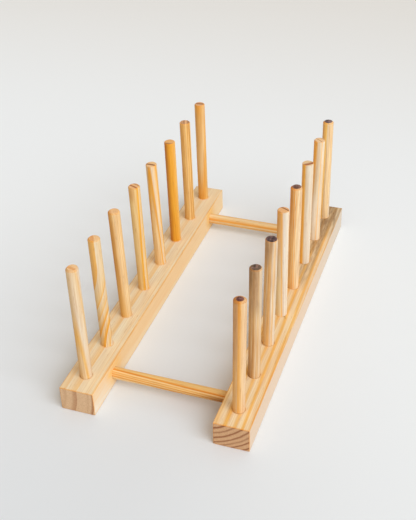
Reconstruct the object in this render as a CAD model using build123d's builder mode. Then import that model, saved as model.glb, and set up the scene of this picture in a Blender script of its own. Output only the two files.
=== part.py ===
from build123d import *
import os

# A free-standing plate rack of pine. Two rails lie flat on the table, eight pegs stand in each of them,
# and two stretchers of the same dowel hold the rails apart. Millimetres, +Z up, the rails run along Y with
# the front at -Y, and the origin is on the table under the middle of the rack.

# Rails: planed battens with sanded edges
rail_width = 29.5
rail_height = 22.5
rail_gap = 99.5
rail_edge_radius = 0.5

# Pegs: how many stand in each rail and where
peg_count = 8
peg_pitch = 41.0
peg_end_distance = 20.0
peg_height = 107.0

# Dowel stock of the pegs and stretchers, and the blind holes that it is glued into
dowel_diameter = 10.0
dowel_chamfer = 1.2
glue_gap = 0.1
peg_hole_depth = 16.0
stretcher_hole_depth = 14.0

# Places that follow from the sizes above
peg_row_length = (peg_count - 1) * peg_pitch
rail_length = peg_row_length + 2 * peg_end_distance
rail_centre_x = (rail_gap + rail_width) / 2
stretcher_y = (peg_row_length - peg_pitch) / 2
stretcher_z = rail_height / 2
hole_radius = dowel_diameter / 2 + glue_gap
peg_length = peg_hole_depth + peg_height
stretcher_length = rail_gap + 2 * stretcher_hole_depth

os.makedirs("parts", exist_ok=True)

# Each rail is a batten with a row of blind peg holes along the middle of its top and, in its inner face,
# one blind hole for each stretcher, at mid height and midway between the two pegs nearest the end.
for side, outward in (("left", -1), ("right", 1)):
    rail_plane = Plane((outward * rail_centre_x, 0, 0))
    inner_face = Plane((outward * rail_gap / 2, 0, stretcher_z), x_dir=(0, 1, 0), z_dir=(-outward, 0, 0))
    with BuildPart() as rail:
        with BuildSketch(rail_plane):
            Rectangle(rail_width, rail_length)
        extrude(amount=rail_height)
        fillet(rail.edges(), radius=rail_edge_radius)
        with Locations(rail_plane.offset(rail_height)):
            with GridLocations(0, peg_pitch, 1, peg_count):
                Hole(hole_radius, depth=peg_hole_depth)
        with Locations(inner_face):
            with GridLocations(2 * stretcher_y, 0, 2, 1):
                Hole(hole_radius, depth=stretcher_hole_depth)
    rail.part.label = f"{side}_rail"
    export_step(rail.part, f"parts/{side}_rail.step")

# The pegs stand on the floors of their holes. Both ends of the dowel are chamfered, the lower one so that
# it starts in the hole and the upper one so that no sharp edge meets a plate or a hand.
for side, outward in (("left", -1), ("right", 1)):
    for place in range(peg_count):
        peg_y = place * peg_pitch - peg_row_length / 2
        hole_floor = Plane((outward * rail_centre_x, peg_y, rail_height - peg_hole_depth))
        with BuildPart() as peg:
            with BuildSketch(hole_floor):
                Circle(dowel_diameter / 2)
            extrude(amount=peg_length)
            chamfer(peg.edges().filter_by(GeomType.CIRCLE), length=dowel_chamfer)
        peg.part.label = f"{side}_peg_{place + 1}"
        export_step(peg.part, f"parts/{side}_peg_{place + 1}.step")

# The stretchers reach from the floor of a hole in one rail to the floor of the hole facing it.
for end, toward in (("front", -1), ("rear", 1)):
    middle = Plane((0, toward * stretcher_y, stretcher_z), x_dir=(0, 1, 0), z_dir=(1, 0, 0))
    with BuildPart() as stretcher:
        with BuildSketch(middle):
            Circle(dowel_diameter / 2)
        extrude(amount=stretcher_length / 2, both=True)
        chamfer(stretcher.edges().filter_by(GeomType.CIRCLE), length=dowel_chamfer)
    stretcher.part.label = f"{end}_stretcher"
    export_step(stretcher.part, f"parts/{end}_stretcher.step")
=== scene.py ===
import math

import bmesh
import bpy
from mathutils import Matrix, Vector, noise


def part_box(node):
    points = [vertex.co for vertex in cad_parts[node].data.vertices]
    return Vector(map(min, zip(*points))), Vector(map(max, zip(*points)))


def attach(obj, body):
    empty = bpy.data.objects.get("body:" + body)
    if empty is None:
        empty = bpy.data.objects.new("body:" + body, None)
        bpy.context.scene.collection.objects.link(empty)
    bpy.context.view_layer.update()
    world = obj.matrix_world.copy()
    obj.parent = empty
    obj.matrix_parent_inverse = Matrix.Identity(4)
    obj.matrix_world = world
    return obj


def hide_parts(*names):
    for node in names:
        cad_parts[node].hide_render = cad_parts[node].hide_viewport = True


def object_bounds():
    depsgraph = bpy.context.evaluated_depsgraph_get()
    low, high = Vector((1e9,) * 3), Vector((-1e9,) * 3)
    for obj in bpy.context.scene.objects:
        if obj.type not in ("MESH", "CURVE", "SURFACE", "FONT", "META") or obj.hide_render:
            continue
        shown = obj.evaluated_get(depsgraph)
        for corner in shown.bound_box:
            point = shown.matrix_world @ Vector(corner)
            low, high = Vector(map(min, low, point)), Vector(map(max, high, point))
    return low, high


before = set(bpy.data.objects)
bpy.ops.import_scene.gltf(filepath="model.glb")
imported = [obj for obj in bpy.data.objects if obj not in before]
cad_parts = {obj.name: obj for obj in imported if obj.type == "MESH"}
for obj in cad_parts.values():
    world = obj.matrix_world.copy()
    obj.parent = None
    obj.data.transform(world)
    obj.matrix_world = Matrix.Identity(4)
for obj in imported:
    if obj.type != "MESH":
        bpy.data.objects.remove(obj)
cad_low, cad_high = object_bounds()


# The two rails are planed pine battens, cross-cut and then sanded, so every arris is eased a little unevenly.
# Each has eight blind holes in its top for the pegs and two in its inner face for the stretchers. The holes
# are drilled one at a time, a touch over the size of the dowel, so each one leans its own way.
MM = 0.001
arris = 0.55 * MM
arris_wear = 0.2 * MM
arris_wear_length = 22 * MM
eased_strip = 1.2 * arris
square_edge = math.radians(60)
station_spacing = 9.0 * MM
station_clearance = 2 * MM
peg_count = 8
hole_sides = 32
hole_cell = 15.0 * MM
hole_mouth = 0.16 * MM
glue_gap = 0.1 * MM
sharpest_smooth_edge = math.radians(50)
same_place = 1e-7
dowel_radius = (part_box("left_peg_1")[1].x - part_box("left_peg_1")[0].x) / 2

# How far the top of each peg stands out of plumb in X and Y, in millimetres, from the front to the back.
# A fit to the edges of the pegs in the photograph gave these, rounded, apart from the sixth on the right,
# which was set upright.
peg_lean = {
    "left": [(0.4, 0.2), (-0.6, -0.3), (-1.6, -0.8), (-1.2, -0.6), (-2.0, -0.9), (-0.6, -0.2), (-0.8, -0.3),
             (-0.5, -0.2)],
    "right": [(1.6, 0.5), (1.0, 0.3), (1.5, 0.4), (-0.1, 0.0), (0.2, 0.1), (0.0, 0.0), (0.6, 0.1),
              (-0.5, -0.1)],
}


def middle_of(node):
    """The middle of a node's box."""
    low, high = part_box(node)
    return (low + high) / 2


def piece_from(bm, name, node, material):
    """Finishes one piece: turns the bmesh into an object that stands for its node and takes its material."""
    bmesh.ops.recalc_face_normals(bm, faces=bm.faces)
    mesh = bpy.data.meshes.new(name)
    bm.to_mesh(mesh)
    bm.free()
    mesh.shade_smooth()
    mesh.set_sharp_from_angle(angle=sharpest_smooth_edge)
    mesh.materials.append(material)
    piece = bpy.data.objects.new(name, mesh)
    bpy.context.scene.collection.objects.link(piece)
    normals = piece.modifiers.new("flat_faces_stay_flat", "WEIGHTED_NORMAL")
    normals.keep_sharp = True
    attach(piece, "root")
    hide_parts(node)


def cut_across(bm, point, normal):
    """Marks one line right round the piece, as a saw would, but without parting it."""
    everything = bm.verts[:] + bm.edges[:] + bm.faces[:]
    bmesh.ops.bisect_plane(bm, geom=everything, dist=same_place, plane_co=point, plane_no=normal)


def drill(bm, mouth, into, depth):
    """Drills a blind hole at mouth, in the square cell around it, and breaks the sharp edge of its mouth."""
    cell = min(bm.faces, key=lambda face: (face.calc_center_median() - mouth).length)
    rim = cell.edges[:]
    bmesh.ops.delete(bm, geom=[cell], context="FACES_ONLY")
    bmesh.ops.bisect_edges(bm, edges=rim, cuts=hole_sides // 4 - 1)
    rim = [edge for edge in bm.edges if edge.is_boundary]
    facing = into.to_track_quat("Z", "Y").to_matrix().to_4x4()
    radius = dowel_radius + glue_gap
    lip = bmesh.ops.create_circle(
        bm, segments=hole_sides, radius=radius + hole_mouth, matrix=Matrix.Translation(mouth) @ facing
    )["verts"]
    loop = list({edge for vert in lip for edge in vert.link_edges})
    bmesh.ops.bridge_loops(bm, edges=rim + loop)
    for narrowing, travel in ((radius / (radius + hole_mouth), hole_mouth), (1.0, depth - hole_mouth)):
        grown = bmesh.ops.extrude_edge_only(bm, edges=loop)["geom"]
        lip = [part for part in grown if isinstance(part, bmesh.types.BMVert)]
        loop = [part for part in grown if isinstance(part, bmesh.types.BMEdge) and part.is_boundary]
        middle = sum((vert.co for vert in lip), Vector()) / len(lip)
        for vert in lip:
            vert.co = middle + (vert.co - middle) * narrowing + into * travel
    bmesh.ops.contextual_create(bm, geom=loop)


def linear(hex_colour):
    """Turns an sRGB hex colour into the linear values that a shader takes."""
    shares = [int(hex_colour[place:place + 2], 16) / 255 for place in (1, 3, 5)]
    return [
        share / 12.92 if share <= 0.04045 else ((share + 0.055) / 1.055) ** 2.4 for share in shares
    ] + [1.0]


def add(tree, kind, inputs, output=0, **settings):
    """Adds one shader node. Each input is a plain value or the output that feeds it."""
    node = tree.nodes.new("ShaderNode" + kind)
    for name, value in settings.items():
        setattr(node, name, value)
    for key, value in inputs.items():
        if isinstance(value, bpy.types.NodeSocket):
            tree.links.new(value, node.inputs[key])
        else:
            node.inputs[key].default_value = value
    return node.outputs[output] if node.outputs else None


def pine(name, middle, grain, bark, heart, rings, pale, early, late, ends, seed, drift=0.0, crook=None,
         soft=0.0, waver=0.25, fibre=0.32, sides=None, stains=(), batten_size=None, resin_spots=0.0,
         end_contrast=1.0):
    """Unfinished pine, planed or turned and lightly sanded: a dry, dull sheen over pale early wood, with the
    orange late wood of each growth ring in it. The rings run through the whole piece about the heart of the
    tree, so they show as stripes along it and as dark arcs on its ends. Places and sizes are in millimetres
    from the middle of the piece, along the grain or from the heart towards the bark.

    grain, bark: the ways that they lay. heart: how far away the heart of the tree was.
    rings: where the late wood of each stops towards the bark, how strong it is, and how wide it builds up.
    The wood just past it is pale, and deepens to early before the next ring. Soft blurs where it stops.
    drift: how far the rings shift per millimetre of grain. waver: how far they wander besides.
    crook: a bend in the trunk, as where along the grain it starts and ends and how far it shifts the rings.
    fibre: how much the fine fibres show. resin_spots: how much pale blotches show in a dark end.
    sides: a tint, the way a side must face to take it, and how much it takes.
    stains: real stains, and patches of painted light and shade, laid on alike: the tint of
    each, how much it covers, how flecked it is, where along the grain it starts and is full, and the two
    places between heart and bark that it lies between.
    ends: the colours of early and late wood where the grain is cut across. end_contrast: over 1, the dark
    arcs there are thinner, and under 1 they are wider."""
    material = bpy.data.materials.new(name)
    material.use_nodes = True
    tree = material.node_tree
    tree.nodes.clear()
    grain = Vector(grain).normalized()
    bark = Vector(bark).normalized()
    turn = Matrix((bark, grain.cross(bark), grain))
    source = tree.nodes.new("ShaderNodeTexCoord")
    log = add(tree, "Mapping", {
        "Vector": source.outputs["Object"],
        "Location": Vector((heart, 0, 0)) - turn @ (middle / MM),
        "Rotation": turn.to_euler(),
        "Scale": (1 / MM, 1 / MM, 1 / MM),
    })

    def pattern(across, along, detail=2.0, shift=0.0):
        """A cloudy pattern with features that many millimetres wide across the grain and long along it."""
        closeness = (1 / across, 1 / across, 1 / along)
        stretched = add(tree, "VectorMath", {0: log, 1: closeness}, operation="MULTIPLY")
        return add(tree, "TexNoise", {"Vector": stretched, "W": seed + shift, "Scale": 1.0, "Detail": detail},
                   noise_dimensions="4D")

    def remap(value, low, high, start=0.0, end=1.0, smooth=False):
        """Stretches a value from one range to another and stops it there."""
        return add(tree, "MapRange", {0: value, 1: low, 2: high, 3: start, 4: end},
                   interpolation_type="SMOOTHSTEP" if smooth else "LINEAR")

    def blend(share, below, above, way="MIX"):
        """Lays one colour over another by a share."""
        above = linear(above) if isinstance(above, str) else above
        return add(tree, "Mix", {0: share, 6: below, 7: above}, output=2, data_type="RGBA", blend_type=way,
                   clamp_factor=False)

    def times(value, factor):
        """Multiplies two values."""
        return add(tree, "Math", {0: value, 1: factor}, operation="MULTIPLY")

    # Growth rings: how far out from the heart a point is, bent by the crook, drift and waver of the trunk
    round_log = add(tree, "VectorMath", {0: log, 1: (1, 1, 0)}, operation="MULTIPLY")
    radius = add(tree, "VectorMath", {0: round_log}, output=1, operation="LENGTH")
    along = add(tree, "SeparateXYZ", {0: log}, output=2)
    place = add(tree, "Math", {0: along, 1: drift, 2: radius}, operation="MULTIPLY_ADD")
    slow = remap(pattern(28, 110), 0.25, 0.75, -waver, waver)
    place = add(tree, "Math", {0: place, 1: slow}, operation="ADD")
    quick = remap(pattern(5, 30, shift=3.0), 0.25, 0.75, -0.25 * waver, 0.25 * waver)
    place = add(tree, "Math", {0: place, 1: quick}, operation="ADD")
    if crook:
        bend = remap(along, crook[0], crook[1], crook[2], 0.0, smooth=True)
        place = add(tree, "Math", {0: place, 1: bend}, operation="ADD")
    pale, early, late = (Vector(linear(colour)) for colour in (pale, early, late))
    marks = []
    behind = -math.inf
    for stop, strength, lead in rings:
        begin = max(stop - lead, behind + 0.05)
        edge = min(0.12 * lead, 0.25) + soft
        peak = max(stop - edge, begin + 0.1)
        behind = stop + edge
        for spot, share in ((begin, 0.0), (begin + 0.45 * (peak - begin), 0.75 * strength), (peak, strength)):
            marks.append((spot, early.lerp(late, share), share))
        marks.append((behind, pale, 0.0))
    first, last = marks[0][0], marks[-1][0]
    late_wood = add(tree, "ValToRGB", {0: remap(place, heart + first, heart + last)}, output=1)
    ring_colour = late_wood.node.outputs[0]
    stops = late_wood.node.color_ramp.elements
    for number, (spot, colour, share) in enumerate(marks):
        spot = (spot - first) / (last - first)
        stop = stops[number] if number == 0 else stops[-1] if number == len(marks) - 1 else stops.new(spot)
        stop.position = spot
        stop.color = (*colour[:3], share)

    # Long grain: ring colours, a slow change of warmth, fibres, and the short dashes of resin canals. Real
    # fibres and canals are 0.03 to 0.2 mm wide, too fine to show here, so they are drawn about 1 mm wide.
    clouds = remap(pattern(14, 60, shift=7.0), 0.3, 0.7, -0.12, 0.12, smooth=True)
    colour = blend(clouds, ring_colour, blend(1.0, ring_colour, "#F6CE98", "MULTIPLY"))
    threads = remap(pattern(0.95, 32, detail=3.0, shift=11.0), 0.3, 0.7, -1.0, 1.0)
    colour = blend(times(threads, fibre), colour, blend(1.0, colour, "#D9B080", "MULTIPLY"))
    dashes = remap(pattern(0.9, 8, detail=1.0, shift=17.0), 0.66, 0.73, 0.0, 0.35, smooth=True)
    colour = blend(dashes, colour, "#B5814A")
    # Painted shade: every piece is painted a deeper amber on the side turned away from the light
    turned = add(tree, "VectorMath", {0: source.outputs["Normal"], 1: painted_shade_side}, output=1,
                 operation="DOT_PRODUCT")
    painted_shade_share = remap(turned, 0.1, 0.9)
    colour = blend(painted_shade_share, colour, blend(1.0, colour, "#FFF3D8", "MULTIPLY"))
    if sides:
        tint, toward, share = sides
        turned = add(tree, "VectorMath", {0: source.outputs["Normal"], 1: toward}, output=1,
                     operation="DOT_PRODUCT")
        colour = blend(remap(turned, 0.3, 0.9, 0.0, share, smooth=True), colour, tint)
    # Real stains, and patches of painted light and shade, laid on alike
    for number, (tint, share, specks, (start, full), (inner, outer)) in enumerate(stains):
        spread = times(remap(place, heart + inner - 1, heart + inner + 1),
                       remap(place, heart + outer + 1, heart + outer - 1))
        spread = times(spread, remap(along, start, full, smooth=True))
        patchy = remap(pattern(3, 26, detail=4.0, shift=23.0 + number), 0.32, 0.6, 0.3, 1.0, smooth=True)
        flecks = remap(pattern(0.9, 8, detail=2.0, shift=37.0 + number), 0.42, 0.68, 0.0, specks, smooth=True)
        tint = blend(flecks, linear(tint), blend(1.0, linear(tint), "#B89A78", "MULTIPLY"))
        colour = blend(times(times(spread, patchy), share), colour, tint)
    if batten_size:
        # The eased arrises are burnished by handling, and deeper in colour. How near a point is to one is the
        # second smallest of its distances from the three pairs of faces.
        reach = add(tree, "VectorMath", {0: source.outputs["Object"], 1: middle}, operation="SUBTRACT")
        reach = add(tree, "VectorMath", {0: reach}, operation="ABSOLUTE")
        reach = add(tree, "VectorMath", {0: batten_size / 2, 1: reach}, operation="SUBTRACT")
        gaps = add(tree, "SeparateXYZ", {0: reach}).node.outputs
        lesser = add(tree, "Math", {0: gaps[0], 1: gaps[1]}, operation="MINIMUM")
        greater = add(tree, "Math", {0: gaps[0], 1: gaps[1]}, operation="MAXIMUM")
        greater = add(tree, "Math", {0: greater, 1: gaps[2]}, operation="MINIMUM")
        nearness = add(tree, "Math", {0: lesser, 1: greater}, operation="MAXIMUM")
        burnish = remap(nearness, 1.5 * MM, 0.2 * MM, smooth=True)
        burnish = times(burnish, remap(pattern(6, 25), 0.3, 0.6, 0.3, 0.75))
        # Painted shade where each peg meets the rail: a thin amber ring round its foot, with some glue soaked
        # in.
        # The feet are evenly spaced, so a ping-pong along the rail folds them all on to the first.
        first_foot = Vector((middle.x, peg_feet[0], 0))
        foot = add(tree, "VectorMath", {0: source.outputs["Object"], 1: first_foot}, operation="SUBTRACT")
        off_x, off_y = add(tree, "SeparateXYZ", {0: foot}).node.outputs[:2]
        off_y = add(tree, "Math", {0: off_y, 1: peg_feet[1] - peg_feet[0]}, operation="PINGPONG")
        off_y = add(tree, "Math", {0: off_y, 1: (peg_feet[1] - peg_feet[0]) / 2}, operation="PINGPONG")
        off = add(tree, "CombineXYZ", {0: off_x, 1: off_y})
        off = add(tree, "VectorMath", {0: off}, output=1, operation="LENGTH")
        # Painted shade round each foot
        foot_shade = remap(off, foot_shade_ring[1], foot_shade_ring[0], smooth=True)
        foot_shade = times(foot_shade, remap(pattern(3, 3, shift=5.0), 0.35, 0.6, 0.15, 0.6))
        colour = blend(foot_shade, colour, "#DDA660")
        # The inner faces are yellower round and above the two stretcher sockets. The rails mirror each other,
        # so one socket measured without signs stands for all four.
        from_socket = add(tree, "VectorMath", {0: source.outputs["Object"]}, operation="ABSOLUTE")
        from_socket = add(tree, "VectorMath", {0: from_socket, 1: above_socket}, output=1,
                          operation="DISTANCE")
        yellowed = remap(from_socket, socket_yellow_reach[1], socket_yellow_reach[0], 0.0, 0.85, smooth=True)
        inward = add(tree, "VectorMath", {0: source.outputs["Normal"], 1: (1, 0, 0)}, output=1,
                     operation="DOT_PRODUCT")
        yellowed = times(yellowed, add(tree, "Math", {0: inward}, operation="ABSOLUTE"))
        yellowed = times(yellowed, remap(pattern(5, 12, shift=41.0), 0.3, 0.6, 0.4, 1.0))
        colour = blend(yellowed, colour, "#F4C26C")
    # End grain: browner and duller, because the cut fibres stand open and take the light in. A chamfer is
    # sanded clean, and shows the same wood as the sides, only a little deeper.
    across_grain = add(tree, "VectorMath", {0: source.outputs["Normal"], 1: grain}, output=1,
                       operation="DOT_PRODUCT")
    across_grain = add(tree, "Math", {0: across_grain}, operation="ABSOLUTE")
    end = remap(across_grain, 0.92, 0.98, smooth=True)
    cut = remap(across_grain, 0.25, 0.55, 0.0, 0.55, smooth=True)
    colour = blend(cut, colour, blend(1.0, colour, "#F6D2A0", "MULTIPLY"))
    cut_rings = add(tree, "Math", {0: late_wood, 1: end_contrast}, operation="POWER")
    end_colour = blend(cut_rings, linear(ends[0]), ends[1])
    pores = remap(pattern(0.8, 0.8, detail=2.0, shift=29.0), 0.35, 0.7, 0.0, 0.3)
    end_colour = blend(pores, end_colour, blend(1.0, end_colour, "#B4906E", "MULTIPLY"))
    blotches = remap(pattern(2.2, 2.2, detail=1.0, shift=31.0), 0.45, 0.65, 0.0, resin_spots, smooth=True)
    end_colour = blend(blotches, end_colour, "#B08478")
    colour = blend(end, colour, end_colour)
    if batten_size:
        colour = blend(burnish, colour, blend(1.0, colour, "#F4CE90", "MULTIPLY"))

    # Relief in millimetres: late wood stands proud of the sanded early wood, and cut fibres are rough
    roughness = remap(threads, -1.0, 1.0, 0.6, 0.76)
    roughness = add(tree, "Mix", {0: end, 2: roughness, 3: 0.85}, data_type="FLOAT")
    relief = add(tree, "Math", {0: late_wood, 1: 0.04, 2: times(threads, 0.015)}, operation="MULTIPLY_ADD")
    relief = add(tree, "Math", {0: dashes, 1: -0.08, 2: relief}, operation="MULTIPLY_ADD")
    bump = add(tree, "Bump", {"Height": relief, "Distance": MM, "Strength": 1.0})
    surface = add(tree, "BsdfPrincipled", {
        "Base Color": colour,
        "Roughness": roughness,
        "IOR": 1.5,
        "Specular IOR Level": 0.25,
        "Normal": bump,
    })
    add(tree, "OutputMaterial", {"Surface": surface})
    return material


# The way that the side painted in shade faces
painted_shade_side = (-0.906, -0.423, 0)

# Where the painted shade round the feet and the yellowing round the sockets lie on the rails, and how far
# from there each is strongest and gone
peg_feet = [middle_of(f"left_peg_{place}").y for place in (1, 2)]
foot_shade_ring = (dowel_radius + 0.2 * MM, dowel_radius + 1.4 * MM)
rear_socket = middle_of("rear_stretcher")
above_socket = Vector((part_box("right_rail")[0].x, rear_socket.y, rear_socket.z + 4 * MM))
socket_yellow_reach = (6 * MM, 19 * MM)


def batten(side, outward, material):
    """One rail: a squared length with its arrises eased, then drilled for the pegs and the stretchers."""
    low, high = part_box(side + "_rail")
    middle = (low + high) / 2
    size = high - low
    bm = bmesh.new()
    bmesh.ops.create_cube(bm, size=1.0, matrix=Matrix.Translation(middle) @ Matrix.Diagonal((*size, 1.0)))
    pegs = [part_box(f"{side}_peg_{place + 1}") for place in range(peg_count)]
    stretchers = [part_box(end + "_stretcher") for end in ("front", "rear")]
    holes = [(box_low.y + box_high.y) / 2 for box_low, box_high in pegs + stretchers]
    cell_lines = {round(hole + edge, 6) for hole in holes for edge in (-hole_cell / 2, hole_cell / 2)}
    stations = [low.y + step * station_spacing for step in range(1, int(size.y / station_spacing))]
    clear = {
        y for y in stations
        if min(abs(y - line) for line in cell_lines) > station_clearance
        and min(abs(y - hole) for hole in holes) >= hole_cell / 2
    }
    for y in sorted(cell_lines | clear):
        cut_across(bm, (0, y, 0), (0, 1, 0))
    for edge in (-hole_cell / 2, hole_cell / 2):
        cut_across(bm, middle + Vector((edge, 0, 0)), (1, 0, 0))
        cut_across(bm, middle + Vector((0, 0, edge)), (0, 0, 1))
    arrises = [edge for edge in bm.edges if edge.calc_face_angle(0) > square_edge]
    bmesh.ops.bevel(bm, geom=arrises, offset=arris, segments=3, profile=0.5, affect="EDGES", material=-1)
    # Handling has worn the eased arrises down further in some places than in others
    for vert in bm.verts:
        inset = vert.co - middle
        near = [abs(abs(inset[axis]) - size[axis] / 2) < eased_strip for axis in range(3)]
        if sum(near) > 1:
            wear = arris_wear * (0.5 + 0.5 * noise.noise(vert.co / arris_wear_length))
            vert.co -= Vector([math.copysign(wear, inset[axis]) if near[axis] else 0 for axis in range(3)])
    for place, (peg_low, peg_high) in enumerate(pegs):
        lean = Vector((*peg_lean[side][place], 0)) * MM
        up = (Vector((0, 0, peg_high.z - high.z)) + lean).normalized()
        mouth = Vector(((peg_low.x + peg_high.x) / 2, (peg_low.y + peg_high.y) / 2, high.z))
        drill(bm, mouth, -up, high.z - peg_low.z)
    for bar_low, bar_high in stretchers:
        inner_face = low.x if outward > 0 else high.x
        bar_end = bar_high.x if outward > 0 else bar_low.x
        mouth = Vector((inner_face, (bar_low.y + bar_high.y) / 2, (bar_low.z + bar_high.z) / 2))
        drill(bm, mouth, Vector((outward, 0, 0)), abs(bar_end - inner_face))
    piece_from(bm, f"{side}_rail_batten", f"{side}_rail", material)


# The left rail was sawn so that its few rings stand nearly upright in its end and run straight along its
# top. The right rail has eight, which arch across its end, and a grey-brown stain towards the back.
left_rail_pine = pine(
    "planed_pine_left_rail", middle_of("left_rail"), grain=(0, 1, 0), bark=(0.992, 0, -0.127), heart=62.9,
    rings=[(-8.5, 0.3, 4.0), (0.7, 0.62, 5.2), (11.0, 0.3, 1.5), (15.6, 0.85, 2.6)], drift=-0.0055,
    pale="#EAD6B4", early="#ECD2A8", late="#EAB870", ends=("#DEBA92", "#A2602F"), waver=0.35, fibre=0.22,
    sides=("#F0CE9E", (1, 0, 0), 0.7), end_contrast=1.3,
    stains=[("#E8DCCA", 0.85, 0.0, (-100, -140), (15.3, 18.0)),
            ("#EDD2A8", 0.6, 0.0, (30, 120), (-20.0, 22.0))],
    batten_size=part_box("left_rail")[1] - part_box("left_rail")[0], seed=1.0,
)
right_rail_pine = pine(
    "planed_pine_right_rail", middle_of("right_rail"), grain=(0, 1, 0), bark=(0.539, 0, -0.842), heart=61.0,
    rings=[(-18.0, 0.4, 2.0), (-13.9, 0.95, 2.4), (-9.2, 0.75, 2.0), (-4.6, 0.9, 2.2), (0.1, 0.85, 2.0),
           (4.0, 0.65, 2.2), (7.6, 0.9, 1.8), (12.3, 0.95, 1.8)],
    pale="#ECD0A8", early="#EDCC9A", late="#EAAC4C", ends=("#D8AC81", "#8A4C26"), drift=0.0165,
    sides=("#DAC2AA", (1, 0, 0), 0.92), waver=0.8, soft=0.45, fibre=0.28, end_contrast=1.5,
    stains=[("#B08C62", 0.85, 0.8, (10, 50), (-9.5, -1.0)), ("#A28460", 0.9, 0.9, (95, 140), (-18.0, 3.5)),
            ("#C6C0B2", 0.6, 0.0, (0, 160), (1.5, 20.0))],
    batten_size=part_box("right_rail")[1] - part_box("right_rail")[0], seed=2.0,
)
batten("left", -1, left_rail_pine)
batten("right", 1, right_rail_pine)


# The sixteen pegs are lengths of turned pine dowel, glued upright into the blind holes. Their top ends are
# chamfered against a sanding disc, so each chamfer is a little off centre. They come from different planks,
# so no two have the same grain, and some ends are dark with resin.
dowel_sides = 48
dowel_rings = 22
dowel_flats = 0.06 * MM
flat_width = 4 * MM
flat_length = 30 * MM
chamfer_rounding = 0.18 * MM
gentlest_rim = math.radians(20)
foot_chamfer = 1.2 * MM
rail_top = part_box("left_rail")[1].z


def dowel(length, top_chamfer, seed):
    """A length of dowel that stands on the origin: its outline is spun round its axis, its edges are
    softened, and the last of the roundness is taken off it, as the cutters of a dowel mill leave it."""
    bm = bmesh.new()
    outline = [
        (0, 0),
        (dowel_radius - foot_chamfer, 0),
        (dowel_radius, foot_chamfer),
        (dowel_radius, length - top_chamfer[1]),
        (dowel_radius - top_chamfer[0], length),
        (0, length),
    ]
    points = [bm.verts.new((x, 0, z)) for x, z in outline]
    lines = [bm.edges.new(pair) for pair in zip(points, points[1:])]
    bmesh.ops.subdivide_edges(bm, edges=[lines[2]], cuts=dowel_rings)
    bmesh.ops.spin(bm, geom=bm.verts[:] + bm.edges[:], cent=(0, 0, 0), axis=(0, 0, 1), angle=2 * math.pi,
                   steps=dowel_sides, use_merge=True)
    bmesh.ops.remove_doubles(bm, verts=bm.verts, dist=same_place)
    rims = [edge for edge in bm.edges if edge.calc_face_angle(0) > gentlest_rim]
    bmesh.ops.bevel(bm, geom=rims, offset=chamfer_rounding, segments=2, profile=0.5, affect="EDGES",
                    material=-1)
    for vert in bm.verts:
        away = Vector((vert.co.x, vert.co.y, 0))
        place = Vector((vert.co.x / flat_width, vert.co.y / flat_width, vert.co.z / flat_length + 7 * seed))
        if away.length > 0:
            vert.co -= away.normalized() * dowel_flats * (0.5 + 0.5 * noise.noise(place))
    return bm


def stand_peg(side, place, chamfer, bark, short=0.1, off=(0.0, 0.0), **wood):
    """One peg in its hole. Its chamfer is this wide and deep, the bark lay this many degrees round from +X,
    it is this much shorter than the CAD's, and its chamfer is this far off centre in X and Y. All sizes are
    in millimetres. The least shortfall keeps the raised edge of a leaning end below the CAD's top."""
    node = f"{side}_peg_{place}"
    low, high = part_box(node)
    chamfer = [size * MM for size in chamfer]
    length = high.z - low.z - short * MM
    seed = place + (peg_count if side == "right" else 0)
    bm = dowel(length, chamfer, seed)
    for vert in bm.verts:
        risen = (vert.co.z - (length - chamfer[1])) / chamfer[1]
        if risen > 0:
            vert.co += Vector((*off, 0)) * MM * risen * (vert.co.xy.length / dowel_radius)
    pivot = Vector((middle_of(node).x, middle_of(node).y, rail_top))
    plumb = Vector((0, 0, high.z - rail_top))
    lean = Vector((*peg_lean[side][place - 1], 0)) * MM
    tilt = plumb.rotation_difference(plumb + lean).to_matrix()
    stand = Matrix.Translation(pivot) @ tilt.to_4x4() @ Matrix.Translation((0, 0, low.z - rail_top))
    bmesh.ops.transform(bm, matrix=stand, verts=bm.verts)
    bark = math.radians(bark)
    middle = pivot + tilt @ (middle_of(node) - pivot)
    material = pine("turned_pine_" + node, middle, grain=tilt @ Vector((0, 0, 1)), heart=32.0,
                    bark=tilt @ Vector((math.cos(bark), math.sin(bark), 0)), seed=10.0 + seed, **wood)
    piece_from(bm, node + "_dowel", node, material)


# Front left: pale, with one broad soft band that crosses to the right as it comes down
stand_peg("left", 1, chamfer=(1.0, 1.4), off=(0.2, 0.4), bark=75, drift=0.07, soft=0.8, waver=0.2,
          rings=[(-3.9, 1.0, 2.2), (4.3, 0.4, 2.0)],
          pale="#E1CAAC", early="#E0BF92", late="#E5B468", end_contrast=0.5, ends=("#F5CB96", "#DC8C3C"))
# The grain turns outward near its foot and is cut through there in long arches
stand_peg("left", 2, chamfer=(0.9, 1.0), off=(0.2, 0.2), bark=29, crook=(-50, 38, 23.5),
          rings=[(0.0, 0.65, 5.0), (7.7, 0.6, 1.4), (12.8, 0.4, 1.4), (17.6, 0.85, 2.2), (22.4, 1.0, 2.7),
                 (26.4, 0.5, 1.2)],
          pale="#E2CBA8", early="#E3BF86", late="#E49E2A", ends=("#F5CA94", "#DE8E40"), waver=0.2)
# Fine, even grain, browner on its left
stand_peg("left", 3, chamfer=(0.9, 1.0), off=(0.1, 0.2), bark=-150, drift=-0.012, fibre=0.4,
          rings=[(-3.2, 0.25, 0.8), (-1.8, 0.3, 0.8), (-0.5, 0.2, 0.6), (5.2, 1.0, 4.4)],
          pale="#E9CCA0", early="#EBC68E", late="#D2984A", ends=("#F2C48E", "#DE9A56"),
          stains=[("#E6B468", 0.5, 0.0, (5, -40), (-0.5, 9.0))])
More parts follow.
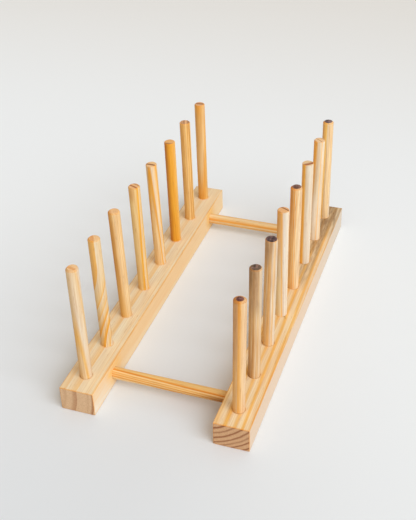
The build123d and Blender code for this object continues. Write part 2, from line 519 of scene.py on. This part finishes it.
# One strong orange stripe up its middle
stand_peg("left", 4, chamfer=(0.7, 0.7), off=(0.0, 0.1), bark=68, drift=-0.012, soft=0.05,
          crook=(10, 60, 0.4), rings=[(-0.8, 1.0, 2.0), (2.7, 0.8, 1.4)],
          pale="#E8CA9E", early="#E9C68A", late="#E9A81E", ends=("#F0C088", "#A85826"),
          stains=[("#D2924C", 0.7, 0.0, (44, 56), (-9.0, -4.4)),
                  ("#E6B462", 0.5, 0.0, (-14, -38), (-9.0, -2.8))])
# A golden face that ends in a stripe slanting to the right, and paler wood past it
stand_peg("left", 5, short=1.0, chamfer=(0.7, 0.7), off=(0.0, 0.1), bark=86, drift=0.0284, soft=0.1,
          waver=0.15, rings=[(-3.1, 1.0, 1.35), (1.7, 1.0, 2.4)],
          pale="#E6CDAC", early="#EFC890", late="#E9A638", ends=("#F2C890", "#844020"))
# Deep honey all over: it was cut almost along one ring of late wood
# Its side turned from the light is painted brown, as shade
stand_peg("left", 6, chamfer=(0.4, 0.5), bark=-92, drift=-0.012,
          rings=[(6.4, 1.0, 5.6)], sides=("#BE7430", painted_shade_side, 0.7), end_contrast=1.3,
          pale="#ECBE74", early="#EDB45C", late="#E69E26", ends=("#ECB674", "#6E2E16"))
# Narrow rings edge on, like pencil lines
stand_peg("left", 7, chamfer=(0.6, 0.8), bark=21, drift=0.003, waver=0.5,
          fibre=0.5, rings=[(-3.9, 0.8, 0.9), (-2.3, 0.5, 0.7), (-0.9, 0.6, 0.8), (0.2, 0.5, 0.6),
                            (2.9, 0.6, 0.8), (4.4, 1.0, 1.0)],
          pale="#EBC284", early="#E8B56A", late="#CC8A34", end_contrast=0.4, ends=("#ECBA88", "#7C4028"))
# Plain and tan, warmer towards its foot
stand_peg("left", 8, chamfer=(0.8, 0.9), bark=-87, drift=0.05, soft=0.6, waver=0.3,
          rings=[(3.9, 0.75, 3.2), (9.1, 0.8, 2.0)],
          pale="#E7BD82", early="#E2AE64", late="#E69E3C", ends=("#E6B280", "#844424"))
# A brown left side, an orange stripe, and a dark resin-soaked end inside the widest chamfer of all
stand_peg("right", 1, chamfer=(2.1, 1.0), off=(-0.05, 0.15), bark=-165, soft=0.2,
          resin_spots=0.45, rings=[(-4.6, 0.3, 0.5), (1.9, 1.0, 3.2), (6.5, 0.4, 4.4)],
          pale="#DFBC94", early="#E3B985", late="#E7AC5A", ends=("#7C4E44", "#5A3532"),
          stains=[("#CB9868", 0.85, 0.25, (-10, 20), (1.7, 9.0)),
                  ("#DC8C2C", 0.85, 0.0, (16, 54), (0.0, 2.0)),
                  ("#C2873F", 0.75, 0.0, (58, 60.5), (0.6, 9.0))])
# Grey-brown from damp, most of all towards its top and on its left
stand_peg("right", 2, short=1.1, chamfer=(1.0, 0.9), off=(0.2, 0.2), bark=-170, waver=0.9,
          fibre=0.5, resin_spots=0.45,
          rings=[(-4.6, 0.3, 0.6), (-1.4, 0.35, 1.2), (2.2, 0.9, 2.0), (4.6, 0.6, 1.2)],
          pale="#D5B792", early="#D6AE7C", late="#C4945A", ends=("#75604E", "#4A3A34"),
          stains=[("#B48656", 0.8, 0.4, (-18, -32), (0.8, 9.0)),
                  ("#B28C64", 0.8, 0.4, (8, 34), (-2.9, 9.0)),
                  ("#CBB89E", 0.8, 0.2, (0, 30), (-9.0, -2.9)),
                  ("#96744E", 0.75, 0.3, (34, 54), (0.3, 9.0))])
# Streaked with the same stain, golden low on its left, and its end is nearly black
stand_peg("right", 3, short=2.5, chamfer=(0.5, 0.6), off=(-0.1, 0.1), bark=10, drift=-0.006, waver=1.5,
          soft=0.3, fibre=0.5, resin_spots=0.45,
          rings=[(-2.6, 0.5, 1.0), (1.0, 1.0, 2.6), (3.4, 0.3, 0.9)],
          pale="#D8C1A4", early="#E2BA88", late="#D8A464", ends=("#5C4A4A", "#3C3032"),
          stains=[("#B48C64", 0.85, 0.35, (28, 54), (-9.0, 1.5)),
                  ("#ECBA72", 0.6, 0.0, (-20, -36), (-9.0, 0.8))])
# Tan on its left up to an orange edge, nearly white on its right and low down
# Low on its left, a pale yellow patch is painted light
stand_peg("right", 4, short=0.9, chamfer=(0.5, 0.5), bark=63, drift=0.0125, soft=0.2,
          waver=0.15, rings=[(-3.3, 1.0, 1.2), (3.4, 1.0, 1.4)],
          pale="#DBCCB9", early="#E6D6BC", late="#EBB160", ends=("#F0BA80", "#84421F"),
          stains=[("#EBBB80", 0.85, 0.0, (2, 26), (-9.0, -3.7)),
                  ("#F4D496", 0.8, 0.0, (4, -16), (-9.0, -4.1)),
                  ("#E8A040", 0.85, 0.0, (10, 50), (-4.6, -3.1))])
# Narrow rings on its left, pale on its right, a dark end with a wide chamfer
# Low on its left, a pale golden patch is painted light
stand_peg("right", 5, short=2.8, chamfer=(1.2, 1.1), off=(0.3, 0.3), bark=-170, waver=0.6,
          fibre=0.55, resin_spots=0.45, rings=[(-4.6, 0.2, 0.5), (0.0, 0.7, 0.9), (1.5, 1.0, 0.9),
                                               (2.5, 0.5, 0.7), (3.4, 0.9, 0.8), (4.6, 1.0, 0.8)],
          pale="#DEC09A", early="#EAC896", late="#E69428", ends=("#7A5A4A", "#4C3430"),
          stains=[("#F8C67C", 0.75, 0.2, (24, -8), (0.8, 9.0)),
                  ("#DE9038", 0.85, 0.3, (10, 50), (1.4, 9.0))])
# Pale, with one honey stripe up its left
stand_peg("right", 6, short=2.1, chamfer=(0.4, 0.5), bark=-48, drift=0.004, soft=0.2,
          waver=0.15, rings=[(3.5, 1.0, 3.9)],
          pale="#DFCDB3", early="#F4D09C", late="#F6B650", ends=("#EACA9C", "#A85E38"))
# Two thin stripes and an orange left edge that runs out half way down
# Low on its left, a near-white patch is painted light
stand_peg("right", 7, short=0.3, chamfer=(0.5, 0.6), bark=53, drift=-0.016, soft=0.25,
          waver=0.12, rings=[(-5.1, 1.0, 2.2), (-1.0, 0.65, 0.9), (3.2, 0.5, 1.2)],
          pale="#E2D0B7", early="#E4CCA6", late="#F8B454", ends=("#F2CC9C", "#9A4C26"),
          stains=[("#F6E8D2", 0.85, 0.0, (14, -8), (-9.0, -2.4))])
# Honey at its left, then fine lines on pinkish wood, and a blue-black end
# The honey band on its left is real, and painted brighter there as light
stand_peg("right", 8, short=1.4, chamfer=(1.3, 1.1), off=(0.1, 0.0), bark=10, drift=-0.01, waver=0.35,
          soft=0.4, fibre=0.5, resin_spots=0.45,
          rings=[(-0.9, 1.0, 4.0), (1.4, 0.3, 0.6), (2.7, 0.4, 0.6), (3.9, 0.4, 0.7)],
          pale="#DBBD98", early="#EACBA0", late="#FFD078", ends=("#64606A", "#444048"),
          stains=[("#E09C44", 0.6, 0.0, (26, 54), (-9.0, -1.6))])


# The two stretchers are the same dowel, cut to length and glued into the inner faces of the rails, so that
# only the length between the rails shows. Each lies as it was glued, with its own grain.
def lay_stretcher(node, bark, seed, **wood):
    """One stretcher between the rails, with the bark this many degrees round from +Y towards +Z."""
    low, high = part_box(node)
    bm = dowel(high.x - low.x, (foot_chamfer, foot_chamfer), seed)
    start = Vector((low.x, *middle_of(node).yz))
    lie = Matrix.Translation(start) @ Matrix.Rotation(math.pi / 2, 4, "Y")
    bmesh.ops.transform(bm, matrix=lie, verts=bm.verts)
    bark = math.radians(bark)
    material = pine("turned_pine_" + node, middle_of(node), grain=(1, 0, 0), heart=36.0,
                    bark=(0, math.cos(bark), math.sin(bark)), ends=("#D8B080", "#A06A40"), waver=0.2,
                    seed=seed, **wood)
    piece_from(bm, node + "_dowel", node, material)


# Painted shadow: the front stretcher's right end, where the right rail's shade falls, is painted dark brown
lay_stretcher("front_stretcher", bark=-134, seed=60.0, drift=-0.03,
              rings=[(-0.4, 1.0, 1.9), (1.5, 0.8, 0.8), (3.1, 0.85, 1.0), (4.7, 0.85, 1.0)],
              pale="#F0CE98", early="#ECC07A", late="#DC8820",
              stains=[("#96602C", 0.75, 0.5, (20, 48), (0.6, 9.0))])
lay_stretcher("rear_stretcher", bark=-124, seed=61.0,
              rings=[(-3.6, 0.3, 1.0), (2.2, 0.9, 3.0), (4.4, 0.7, 1.0)],
              pale="#EED4A8", early="#EECA90", late="#E89E38")


# The rack stands on a plain white table top of smooth lacquered board, which is wide enough to fill the
# view. Its colour holds painted light and shade: whiter towards its right and back, greyer in the middle,
# where the rack's shade falls, and duller and warmer far behind, where the light falls off.
table_size = 8.0
table_lacquer = bpy.data.materials.new("white_lacquered_board")
table_lacquer.use_nodes = True
lacquer_tree = table_lacquer.node_tree
lacquer_tree.nodes.clear()
where = lacquer_tree.nodes.new("ShaderNodeTexCoord").outputs["Object"]
cloud = add(lacquer_tree, "TexNoise", {"Vector": where, "Scale": 6.0, "Detail": 2.0})
# Painted light towards the right and back, painted shade in the middle, and a faint cloud in the lacquer
cloud_and_painted_light = add(lacquer_tree, "VectorMath", {0: where, 1: (0.5, 1.0, 0)}, output=1, operation="DOT_PRODUCT")
painted_middle_shade = add(lacquer_tree, "VectorMath", {0: where}, operation="ABSOLUTE")
painted_middle_shade = add(lacquer_tree, "VectorMath", {0: painted_middle_shade, 1: (1.3, 0, 0)}, output=1, operation="DOT_PRODUCT")
cloud_and_painted_light = add(lacquer_tree, "Math", {0: cloud_and_painted_light, 1: painted_middle_shade}, operation="ADD")
cloud_and_painted_light = add(lacquer_tree, "Math", {0: cloud, 1: 0.05, 2: cloud_and_painted_light}, operation="MULTIPLY_ADD")
cloud_and_painted_light = add(lacquer_tree, "MapRange", {0: cloud_and_painted_light, 1: -0.355, 2: 0.435}, interpolation_type="SMOOTHSTEP")
lacquer_colour = add(lacquer_tree, "Mix", {0: cloud_and_painted_light, 6: linear("#DEE3E7"), 7: linear("#EFF4F7")}, output=2,
                     data_type="RGBA")
# Painted fall-off of the light far behind
painted_far_falloff = add(lacquer_tree, "SeparateXYZ", {0: where}, output=1)
painted_far_falloff = add(lacquer_tree, "MapRange", {0: painted_far_falloff, 1: 0.2, 2: 1.0}, interpolation_type="SMOOTHSTEP")
lacquer_colour = add(lacquer_tree, "Mix", {0: painted_far_falloff, 6: lacquer_colour, 7: linear("#E3E2DE")}, output=2,
                     data_type="RGBA")
lacquer = add(lacquer_tree, "BsdfPrincipled", {"Base Color": lacquer_colour, "Roughness": 0.55, "IOR": 1.45})
add(lacquer_tree, "OutputMaterial", {"Surface": lacquer})
bm = bmesh.new()
bmesh.ops.create_grid(bm, x_segments=8, y_segments=8, size=table_size / 2,
                      matrix=Matrix.Translation((0, 0, cad_low.z)))
table_mesh = bpy.data.meshes.new("table_top")
bm.to_mesh(table_mesh)
bm.free()
table_mesh.materials.append(table_lacquer)
table = bpy.data.objects.new("table_top", table_mesh)
bpy.context.scene.collection.objects.link(table)


# Soft light comes from the right and a little in front, low down, as from a wide window. The pale room all
# round fills the shadows.
light_bearing = math.radians(-31)
light_height = math.radians(40)
toward_light = Vector((
    math.cos(light_bearing) * math.cos(light_height),
    math.sin(light_bearing) * math.cos(light_height),
    math.sin(light_height),
))
light_data = bpy.data.lights.new("soft_window_light", "SUN")
light_data.angle = math.radians(50)
light_data.energy = 2.08
light_data.color = linear("#F6FAFF")[:3]
light = bpy.data.objects.new("soft_window_light", light_data)
light.rotation_euler = toward_light.to_track_quat("Z", "Y").to_euler()
bpy.context.scene.collection.objects.link(light)

room = bpy.data.worlds.new("pale_room")
room.use_nodes = True
room_tree = room.node_tree
room_tree.nodes.clear()
seen = add(room_tree, "LightPath", {})
shaded_side = add(room_tree, "Background", {"Color": linear("#FFE8CC"), "Strength": 0.45})
window_side = add(room_tree, "Background", {"Color": linear("#FFFFFF"), "Strength": 0.74})
heading = room_tree.nodes.new("ShaderNodeTexCoord").outputs["Generated"]
toward_window = add(room_tree, "VectorMath", {0: heading, 1: (0.5, 0, 0)}, output=1, operation="DOT_PRODUCT")
toward_window = add(room_tree, "Math", {0: toward_window, 1: 0.5}, operation="ADD")
fill = add(room_tree, "MixShader", {0: toward_window, 1: shaded_side, 2: window_side})
backdrop = add(room_tree, "Background", {"Color": linear("#E8E7E5"), "Strength": 1.0})
sky = add(room_tree, "MixShader", {0: seen, 1: fill, 2: backdrop})
add(room_tree, "OutputWorld", {"Surface": sky})
bpy.context.scene.world = room


# The camera stands where the photograph was taken: in front of the rack, above it and a little to the right.
# Its place, turn and focal length were fitted to edges in the photograph. That length and the height are in
# pixels.
photo_height = 520
camera_place = Vector((217.4, -618.7, 517.0)) * MM
camera_heading = math.radians(20.11)
camera_dip = math.radians(35.32)
camera_roll = math.radians(-1.94)
focal_length = 903.0
sensor = 36.0
camera_data = bpy.data.cameras.new("camera")
camera_data.sensor_width = sensor
camera_data.lens = focal_length / photo_height * sensor
camera_data.clip_start = 0.02
camera = bpy.data.objects.new("camera", camera_data)
aim = (
    Matrix.Rotation(camera_heading, 4, "Z")
    @ Matrix.Rotation(math.pi / 2 - camera_dip, 4, "X")
    @ Matrix.Rotation(camera_roll, 4, "Z")
)
camera.matrix_world = Matrix.Translation(camera_place) @ aim
bpy.context.scene.collection.objects.link(camera)
bpy.context.scene.camera = camera
bpy.context.scene.view_settings.view_transform = "Standard"
